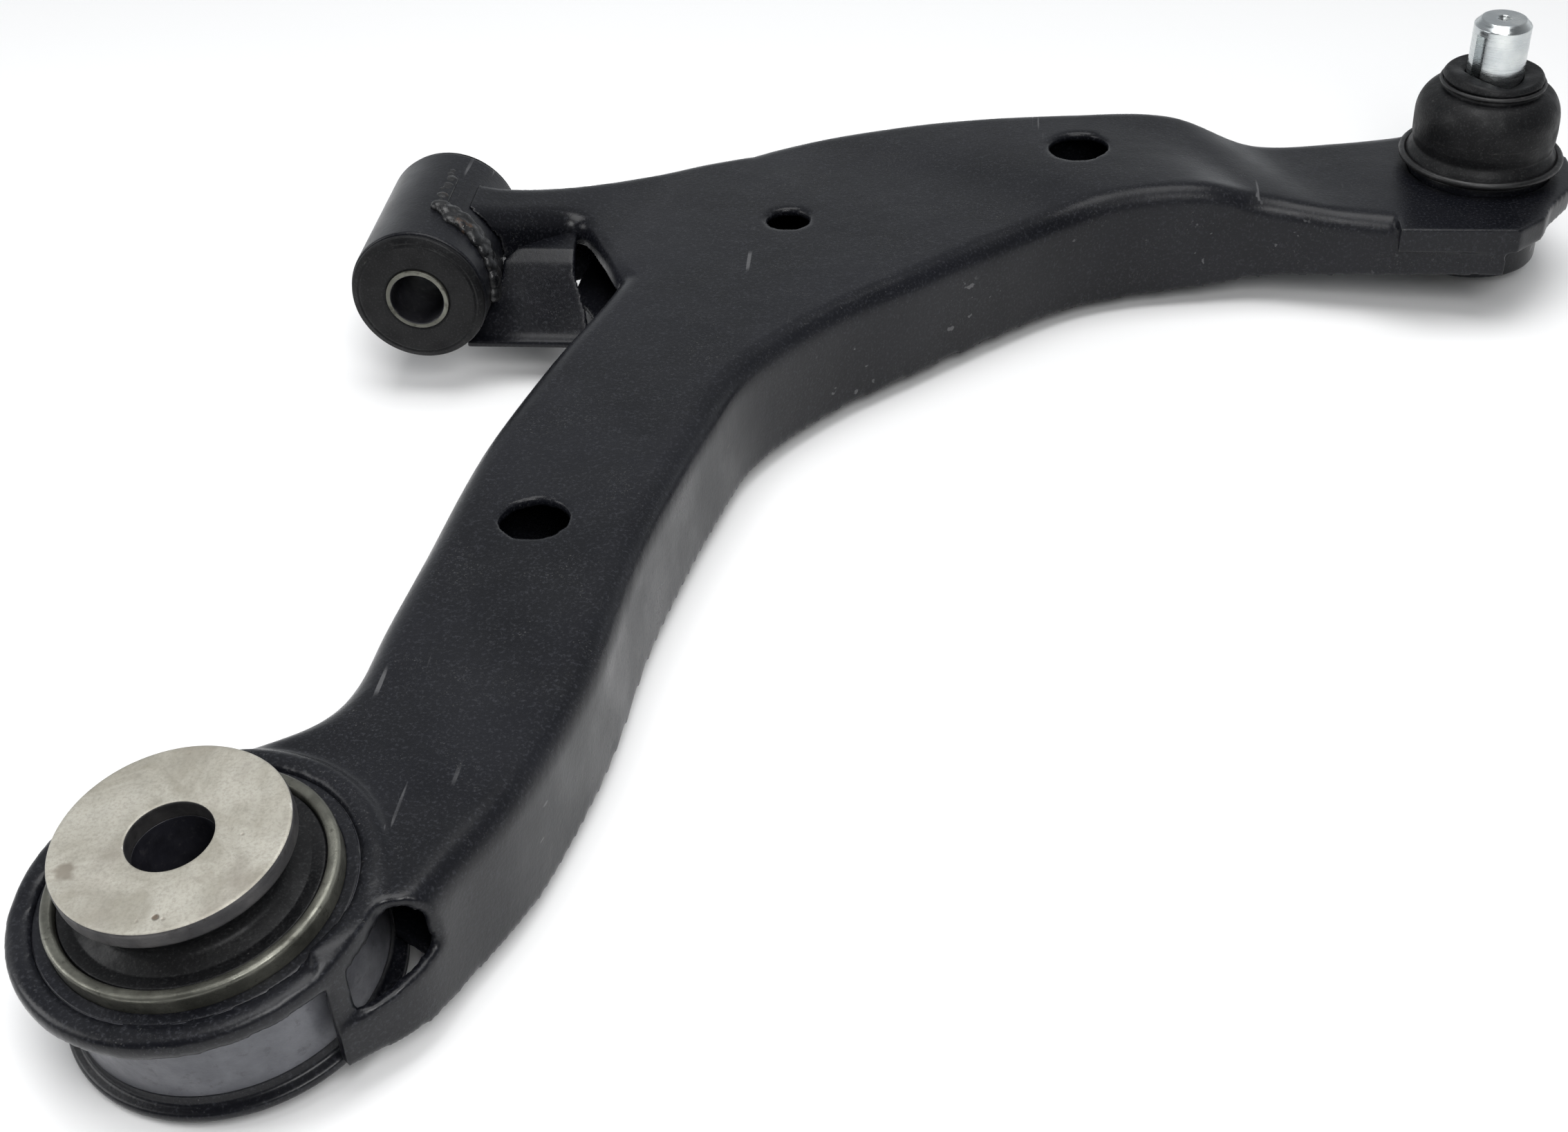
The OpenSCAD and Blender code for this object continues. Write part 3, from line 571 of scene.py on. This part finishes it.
def lip(r, z, a):
    """The boot's lip stands up at the front left of the stud and dips at the front right."""
    up = 1.7 * math.exp(-((a - 3.75) / 0.75) ** 2) - 1.1 * math.exp(-((a - 5.1) / 0.5) ** 2)
    share = clamp((z - (BOOT_H - 5)) / 4) * clamp((16 - r) / 4)
    wave = 0.16 * math.sin(3 * a + 0.7) + 0.1 * math.sin(7 * a)
    return r + wave * clamp((z - 12) / 4), z + up * share


# --- Materials ---------------------------------------------------------------------------------------
class Paint:
    """A material's nodes, round one Principled shader. Lengths are in metres, so scales are per metre."""

    def __init__(self, name, **constants):
        self.m = bpy.data.materials.new(name)
        self.m.use_nodes = True
        self.t = self.m.node_tree
        self.t.nodes.clear()
        self.s = self.t.nodes.new("ShaderNodeBsdfPrincipled")
        out = self.t.nodes.new("ShaderNodeOutputMaterial")
        self.t.links.new(self.s.outputs[0], out.inputs[0])
        self.co = self.t.nodes.new("ShaderNodeTexCoord").outputs["Object"]
        for k, v in constants.items():
            self.s.inputs[k.replace("_", " ")].default_value = v

    def put(self, socket, value):
        if hasattr(value, "is_output"):
            self.t.links.new(value, socket)
        else:
            socket.default_value = value

    def noise(self, scale, detail=3, rough=0.55, stretch=None, warp=0.0):
        n = self.t.nodes.new("ShaderNodeTexNoise")
        src = self.co
        if stretch:
            mp = self.t.nodes.new("ShaderNodeMapping")
            mp.inputs["Scale"].default_value = stretch[:3]
            mp.inputs["Rotation"].default_value = (0, 0, math.radians(stretch[3] if len(stretch) > 3 else 0))
            self.t.links.new(src, mp.inputs["Vector"])
            src = mp.outputs[0]
        self.t.links.new(src, n.inputs["Vector"])
        n.inputs["Scale"].default_value, n.inputs["Detail"].default_value = scale, detail
        n.inputs["Roughness"].default_value, n.inputs["Distortion"].default_value = rough, warp
        return n.outputs["Fac"]

    def cells(self, scale):
        n = self.t.nodes.new("ShaderNodeTexVoronoi")
        self.t.links.new(self.co, n.inputs["Vector"])
        n.inputs["Scale"].default_value = scale
        return n.outputs["Distance"]

    def ramp(self, fac, low, high, a=0.0, b=1.0):
        n = self.t.nodes.new("ShaderNodeMapRange")
        n.interpolation_type = "SMOOTHSTEP"
        for k, v in (("Value", fac), ("From Min", low), ("From Max", high), ("To Min", a), ("To Max", b)):
            self.put(n.inputs[k], v)
        return n.outputs["Result"]

    def math(self, op, a, b=0.0):
        n = self.t.nodes.new("ShaderNodeMath")
        n.operation = op
        self.put(n.inputs[0], a)
        self.put(n.inputs[1], b)
        return n.outputs[0]

    def times(self, a, b):
        return self.math("MULTIPLY", a, b)

    def mix(self, fac, a, b):
        n = self.t.nodes.new("ShaderNodeMix")
        n.data_type = "RGBA"
        sockets = [s for s in n.inputs if s.enabled]
        self.put(sockets[0], fac)
        for s, v in zip(sockets[1:], (a, b)):
            self.put(s, v if hasattr(v, "is_output") else (*v, 1.0) if len(v) == 3 else v)
        return [s for s in n.outputs if s.enabled][0]

    def edge(self, low, high):
        n = self.t.nodes.new("ShaderNodeNewGeometry")
        return self.ramp(n.outputs["Pointiness"], low, high)

    def bump(self, *layers):
        last = None
        for height, depth in layers:
            n = self.t.nodes.new("ShaderNodeBump")
            n.inputs["Distance"].default_value = depth
            n.inputs["Strength"].default_value = 1.0
            self.t.links.new(height, n.inputs["Height"])
            if last:
                self.t.links.new(last, n.inputs["Normal"])
            last = n.outputs[0]
        self.t.links.new(last, self.s.inputs["Normal"])

    def surface(self, colour, rough):
        self.put(self.s.inputs["Base Color"], colour)
        self.put(self.s.inputs["Roughness"], rough)
        return self.m


def black_paint():
    p = Paint("black_paint", Specular_IOR_Level=0.25, IOR=1.5)
    cloud = p.ramp(p.noise(22, 4), 0.35, 0.68)
    colour = p.mix(cloud, (0.003, 0.0033, 0.005), (0.006, 0.0064, 0.009))
    grain = p.ramp(p.noise(1150, 3, 0.65), 0.5, 0.72)
    colour = p.mix(p.times(grain, 0.85), colour, (0.021, 0.022, 0.027))
    dust = p.times(p.ramp(p.noise(1900, 2, 0.6), 0.62, 0.74), p.ramp(p.noise(60, 3), 0.44, 0.68))
    colour = p.mix(p.times(dust, 0.5), colour, (0.11, 0.11, 0.105))
    scratch = p.times(p.ramp(p.noise(330, 2, 0.5, (1, 0.045, 1, 24)), 0.685, 0.72),
                      p.ramp(p.noise(34, 2), 0.56, 0.66))
    colour = p.mix(p.times(scratch, 0.45), colour, (0.16, 0.16, 0.165))
    worn = p.times(p.edge(0.55, 0.63), p.ramp(p.noise(260, 4, 0.7), 0.38, 0.64))
    colour = p.mix(p.times(worn, 0.6), colour, (0.09, 0.095, 0.085))
    rough = p.ramp(p.noise(48, 4), 0.3, 0.7, 0.27, 0.38)
    rough = p.math("ADD", rough, p.times(dust, 0.3))
    rough = p.math("ADD", rough, p.times(grain, 0.08))
    p.bump((p.noise(26, 2), 0.0004), (p.noise(170, 2, 0.5), 0.00006), (p.noise(950, 3, 0.6), 0.00005))
    return p.surface(colour, rough)


def weld_paint():
    p = Paint("weld_paint", Specular_IOR_Level=0.5)
    rust = p.ramp(p.noise(120, 4, 0.7), 0.6, 0.72)
    colour = p.mix(rust, (0.0035, 0.0037, 0.0045), (0.05, 0.024, 0.011))
    # Small near-white specks on the bead: painted glints, not a colour the weld has
    painted_glint = p.times(p.ramp(p.cells(800), 0.16, 0.06), p.ramp(p.noise(230, 2), 0.57, 0.64))
    colour = p.mix(painted_glint, colour, (0.6, 0.6, 0.57))
    rough = p.math("ADD", p.ramp(p.noise(300, 4), 0.3, 0.7, 0.26, 0.5), p.times(rust, 0.25))
    p.bump((p.noise(600, 4, 0.65), 0.0002), (p.noise(190, 2), 0.0004))
    return p.surface(colour, rough)


def rubber(dusty=0.35):
    p = Paint("rubber", Specular_IOR_Level=0.22)
    bloom = p.ramp(p.noise(90, 5, 0.65), 0.42, 0.75)
    colour = p.mix(p.times(bloom, 0.6), (0.002, 0.0021, 0.0027), (0.008, 0.008, 0.0088))
    grain = p.ramp(p.noise(1500, 3, 0.65), 0.5, 0.72)
    colour = p.mix(p.times(grain, 0.5), colour, (0.03, 0.031, 0.032))
    specks = p.times(p.ramp(p.noise(1300, 3, 0.6), 0.62, 0.76), p.ramp(p.noise(110, 3), 0.42, 0.7))
    colour = p.mix(p.times(specks, dusty), colour, (0.16, 0.155, 0.145))
    crest = p.times(p.edge(0.53, 0.62), p.ramp(p.noise(300, 3), 0.4, 0.65))
    colour = p.mix(p.times(crest, dusty), colour, (0.1, 0.098, 0.09))
    rough = p.ramp(p.noise(160, 4), 0.3, 0.7, 0.4, 0.6)
    p.bump((p.noise(1100, 4, 0.6), 0.00009), (p.noise(75, 2), 0.00025))
    return p.surface(colour, rough)


def bare_steel():
    p = Paint("bare_steel", Metallic=0.5)
    stain = p.ramp(p.noise(48, 5, 0.62, None, 0.8), 0.38, 0.66)
    colour = p.mix(stain, (0.29, 0.275, 0.23), (0.42, 0.405, 0.355))
    smudge = p.ramp(p.noise(24, 4, 0.6, (1, 0.55, 1, 40)), 0.52, 0.7)
    colour = p.mix(p.times(smudge, 0.75), colour, (0.235, 0.21, 0.18))
    blot = p.ramp(p.noise(95, 3, 0.5), 0.66, 0.76)
    colour = p.mix(p.times(blot, 0.7), colour, (0.15, 0.125, 0.095))
    pit = p.times(p.ramp(p.cells(210), 0.2, 0.1), p.ramp(p.noise(60, 2), 0.6, 0.66))
    colour = p.mix(pit, colour, (0.12, 0.09, 0.065))
    colour = p.mix(p.times(p.edge(0.53, 0.6), 0.5), colour, (0.62, 0.61, 0.57))
    fine = p.ramp(p.noise(1400, 3, 0.65), 0.4, 0.7)
    colour = p.mix(p.times(fine, 0.4), colour, (0.21, 0.195, 0.165))
    rough = p.ramp(p.noise(210, 4), 0.3, 0.7, 0.48, 0.66)
    p.bump((p.noise(900, 4, 0.65), 0.00006), (p.noise(200, 3), 0.0001),
           (p.math("SUBTRACT", 1.0, pit), 0.0003))
    return p.surface(colour, rough)


def zinc():
    p = Paint("zinc_stud", Metallic=1.0)
    colour = p.mix(p.ramp(p.noise(120, 4), 0.35, 0.7), (0.5, 0.53, 0.54), (0.66, 0.685, 0.675))
    streak = p.noise(2600, 2, 0.5, (0.06, 0.06, 1))
    rough = p.ramp(streak, 0.3, 0.7, 0.16, 0.3)
    spot = p.ramp(p.noise(260, 4, 0.7), 0.66, 0.74)
    colour = p.mix(p.times(spot, 0.4), colour, (0.3, 0.29, 0.27))
    p.bump((streak, 0.000012), (p.noise(260, 3), 0.00003))
    return p.surface(colour, rough)


def worn_metal(name, dark, light, stain, low, high, metallic):
    p = Paint(name, Metallic=metallic)
    colour = p.mix(p.ramp(p.noise(75, 5, 0.65), 0.35, 0.68), dark, light)
    colour = p.mix(p.times(p.ramp(p.noise(380, 4, 0.7), 0.55, 0.72), 0.7), colour, stain)
    rough = p.ramp(p.noise(240, 4), 0.3, 0.7, low, high)
    p.bump((p.noise(1100, 3, 0.6), 0.00005), (p.noise(160, 3), 0.00012))
    return p.surface(colour, rough)


def plastic():
    p = Paint("seat_plastic", Specular_IOR_Level=0.5)
    colour = p.mix(p.ramp(p.noise(60, 3), 0.4, 0.7), (0.72, 0.69, 0.58), (0.78, 0.75, 0.66))
    grease = p.ramp(p.noise(45, 3), 0.5, 0.72)
    colour = p.mix(p.times(grease, 0.5), colour, (0.36, 0.27, 0.14))
    p.bump((p.noise(700, 3), 0.00003), (p.noise(90, 2), 0.0001))
    return p.surface(colour, p.ramp(grease, 0.0, 1.0, 0.45, 0.2))


MATERIALS = {
    "black_paint": black_paint(), "weld_paint": weld_paint(), "rubber": rubber(),
    "bare_steel": bare_steel(), "zinc_stud": zinc(), "seat_plastic": plastic()}
# name: (dark, light, stain, lowest roughness, highest roughness, metallic)
WORN_METALS = {
    "bronzed_steel": ((0.1, 0.1, 0.085), (0.2, 0.2, 0.17), (0.03, 0.028, 0.022), 0.3, 0.5, 0.75),
    "sleeve_steel": ((0.3, 0.28, 0.25), (0.42, 0.4, 0.37), (0.14, 0.12, 0.1), 0.35, 0.55, 0.9),
    # The darker material below also serves as painted shade inside the stud's slot
    "dark_oxide_and_shade": ((0.008, 0.008, 0.011), (0.022, 0.022, 0.03), (0.06, 0.058, 0.06), 0.4, 0.6, 0.3),
    "edge_steel": ((0.035, 0.034, 0.036), (0.075, 0.072, 0.072), (0.02, 0.018, 0.016), 0.42, 0.6, 0.5),
    # The lighter grey below stands in for the reflection on the rear housing's black-painted outer wall: a
    # painted reflection
    "painted_reflection_grey": ((0.075, 0.077, 0.088), (0.115, 0.117, 0.13), (0.05, 0.05, 0.056), 0.3, 0.45, 0.25),
    "clip_steel": ((0.003, 0.003, 0.0035), (0.007, 0.007, 0.0075), (0.03, 0.028, 0.026), 0.36, 0.55, 0.0)}
MATERIALS.update({name: worn_metal(name, *values) for name, values in WORN_METALS.items()})

upper_shell()
lower_plate()
front_bracket()
front_bush()
rear_bush()
ball_joint()
bead("weld_front_tube", tube_weld_path(), 2.5, 0.45, 3)
bead("weld_rear_ring", circle_path(HOUSING_D / 2 + 0.8, -4.4, REAR, 138, 316, 110), 2.0, 0.5, 5)
bead("weld_joint", circle_path(JOINT_D / 2 + 0.5, -4.4 + 7, AT_BALL, 0, 358, 100), 1.8, 0.5, 7)
bead("weld_seam", seam_path(), 2.1, 0.6, 9)

# piece: (CAD nodes it stands for, body, material slot)
PIECES = {
    "arm_upper_shell": (("upper_shell", "shell_tongue"), "arm", "black_paint"),
    "arm_lower_plate": (("lower_plate",), "arm", "black_paint"),
    "arm_front_bracket": (("front_bracket",), "arm", "black_paint"),
    "front_bush_tube": (("front_tube",), "arm", "black_paint"),
    "front_bush_rubber": (("front_rubber",), "arm", "rubber"),
    "front_bush_sleeve": (("front_inner_sleeve",), "front_sleeve", "bronzed_steel"),
    "weld_front_tube": (("front_tube_weld",), "arm", "weld_paint"),
    "rear_bush_housing": (("rear_housing",), "arm", "black_paint"),
    "rear_bush_can": (("rear_outer_can",), "arm", "bronzed_steel"),
    "rear_bush_sleeve": (("rear_inner_sleeve",), "rear_core", "sleeve_steel"),
    "rear_bush_washer": (("rear_top_washer",), "rear_core", "bare_steel"),
    "rear_bush_foot": (("rear_bottom_washer",), "rear_core", "bare_steel"),
    "weld_rear_ring": (("rear_ring_weld",), "arm", "weld_paint"),
    "joint_body": (("joint_housing",), "arm", "black_paint"),
    "joint_cover": (("end_cover",), "arm", "black_paint"),
    "weld_joint": (("joint_weld",), "arm", "weld_paint"),
    "stud": (("ball_stud",), "stud", "zinc_stud"),
    "boot_clip": (("boot_lower_ring",), "arm", "clip_steel"),
    "boot_spring": (("boot_upper_ring",), "boot_collar", "clip_steel"),
    "weld_seam": (("seam_weld",), "arm", "weld_paint"),
}


def dress(o, slot):
    o.data.materials.clear()
    o.data.materials.append(MATERIALS[slot])


for name, (nodes, body, slot) in PIECES.items():
    o = bpy.data.objects[name]
    dress(o, slot)
    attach(o, body)
    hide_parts(*nodes)

bpy.data.objects["stud"].data.materials.append(MATERIALS["dark_oxide_and_shade"])
for name, slot, place, pick in (
        ("rear_bush_washer", "edge_steel", REAR, lambda r, z, n: abs(n) > 0.6),
        ("rear_bush_sleeve", "dark_oxide_and_shade", REAR, lambda r, z, n: n < -0.5),
        ("front_bush_sleeve", "dark_oxide_and_shade", FRONT, lambda r, z, n: n < -0.5),
        # The rear housing's outer wall above the lip gets a lighter grey over its black paint: a painted
        # reflection
        ("rear_bush_housing", "painted_reflection_grey", REAR, lambda r, z, n: n > 0.8 and z > 5.5 - HOUSING_H)):
    bpy.data.objects[name].data.materials.append(MATERIALS[slot])
    darken(bpy.data.objects[name], place, pick)


def soft(name, node):
    """A rubber piece: dressed in rubber, its CAD node hidden, and its place baked into its mesh."""
    o = bpy.data.objects[name]
    dress(o, "rubber")
    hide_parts(node)
    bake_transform(o)


soft("rear_bush_rubber", "rear_rubber")
soft("boot_lower", "boot")
soft("boot_upper", "boot")

# CAD nodes that stay, with a better material
for node, slot in (("front_outer_sleeve", "sleeve_steel"), ("ball_seat", "seat_plastic"),
                   ("wedge_ring", "sleeve_steel")):
    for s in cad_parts[node].material_slots:
        s.material = MATERIALS[slot]

# --- Studio ------------------------------------------------------------------------------------------
FLOOR_GAP = 0.0003
bm = bmesh.new()
bmesh.ops.create_grid(bm, x_segments=8, y_segments=8, size=6.0)
floor = from_bmesh("floor", bm)
floor.location = (0.17, -0.1, cad_box[0].z - FLOOR_GAP)
p = Paint("floor_white")
floor.data.materials.append(p.surface(p.mix(p.noise(3, 2), (0.9, 0.9, 0.9), (0.93, 0.93, 0.93)), 0.8))

world = bpy.data.worlds.new("studio")
bpy.context.scene.world = world
world.use_nodes = True
wt = world.node_tree
direction = wt.nodes.new("ShaderNodeTexCoord").outputs["Generated"]
split = wt.nodes.new("ShaderNodeSeparateXYZ")
wt.links.new(direction, split.inputs[0])


def fade(axis, values):
    """The world's brightness along one axis: from and to a direction, from and to a brightness."""
    n = wt.nodes.new("ShaderNodeMapRange")
    wt.links.new(split.outputs[axis], n.inputs["Value"])
    for k, v in zip(("From Min", "From Max", "To Min", "To Max"), values):
        n.inputs[k].default_value = v
    return n.outputs[0]


times = wt.nodes.new("ShaderNodeMath")
times.operation = "MULTIPLY"
wt.links.new(fade("Z", (0.08, 0.4, 0.95, 0.42)), times.inputs[0])
wt.links.new(fade("Y", (-0.5, 0.5, 0.24, 1.0)), times.inputs[1])
wt.links.new(times.outputs[0], wt.nodes["Background"].inputs["Strength"])
wt.nodes["Background"].inputs["Color"].default_value = (0.94, 0.97, 1.0, 1)


def softbox(name, at_, look, size, power):
    light = bpy.data.lights.new(name, "AREA")
    light.shape, light.size, light.size_y = "RECTANGLE", size[0], size[1]
    light.energy = power
    o = bpy.data.objects.new(name, light)
    o.location = at_
    o.rotation_euler = (Vector(look) - Vector(at_)).to_track_quat("-Z", "Y").to_euler()
    bpy.context.scene.collection.objects.link(o)


softbox("top", (0.15, -0.1, 1.3), (0.15, -0.1, 0), (1.0, 1.0), 14)
softbox("left", (-1.0, -0.35, 0.6), (0.0, -0.1, 0), (0.6, 0.6), 5)
softbox("pool", (0.3, -0.62, 0.5), (0.15, -0.25, -0.04), (0.3, 0.3), 3)

camera = bpy.data.cameras.new("camera")
cam = bpy.data.objects.new("camera", camera)
bpy.context.scene.collection.objects.link(cam)
bpy.context.scene.camera = cam
# The camera's axes, place and lens, solved from the photograph's round features
right, down = Vector((0.9973, 0.0688, -0.025)), Vector((0.0249, -0.6399, -0.768))
forward = Vector((-0.0688, 0.7653, -0.6399))
turn = Matrix((right, -down, -forward)).transposed()
cam.matrix_world = Matrix.Translation((0.1755, -0.5922, 0.3131)) @ turn.to_quaternion().to_matrix().to_4x4()
camera.sensor_fit, camera.sensor_width, camera.lens = "HORIZONTAL", 36, 48.15
camera.shift_x, camera.shift_y = -0.0337, 0.0873
camera.clip_start = 0.01
bpy.context.scene.view_settings.view_transform = "Standard"
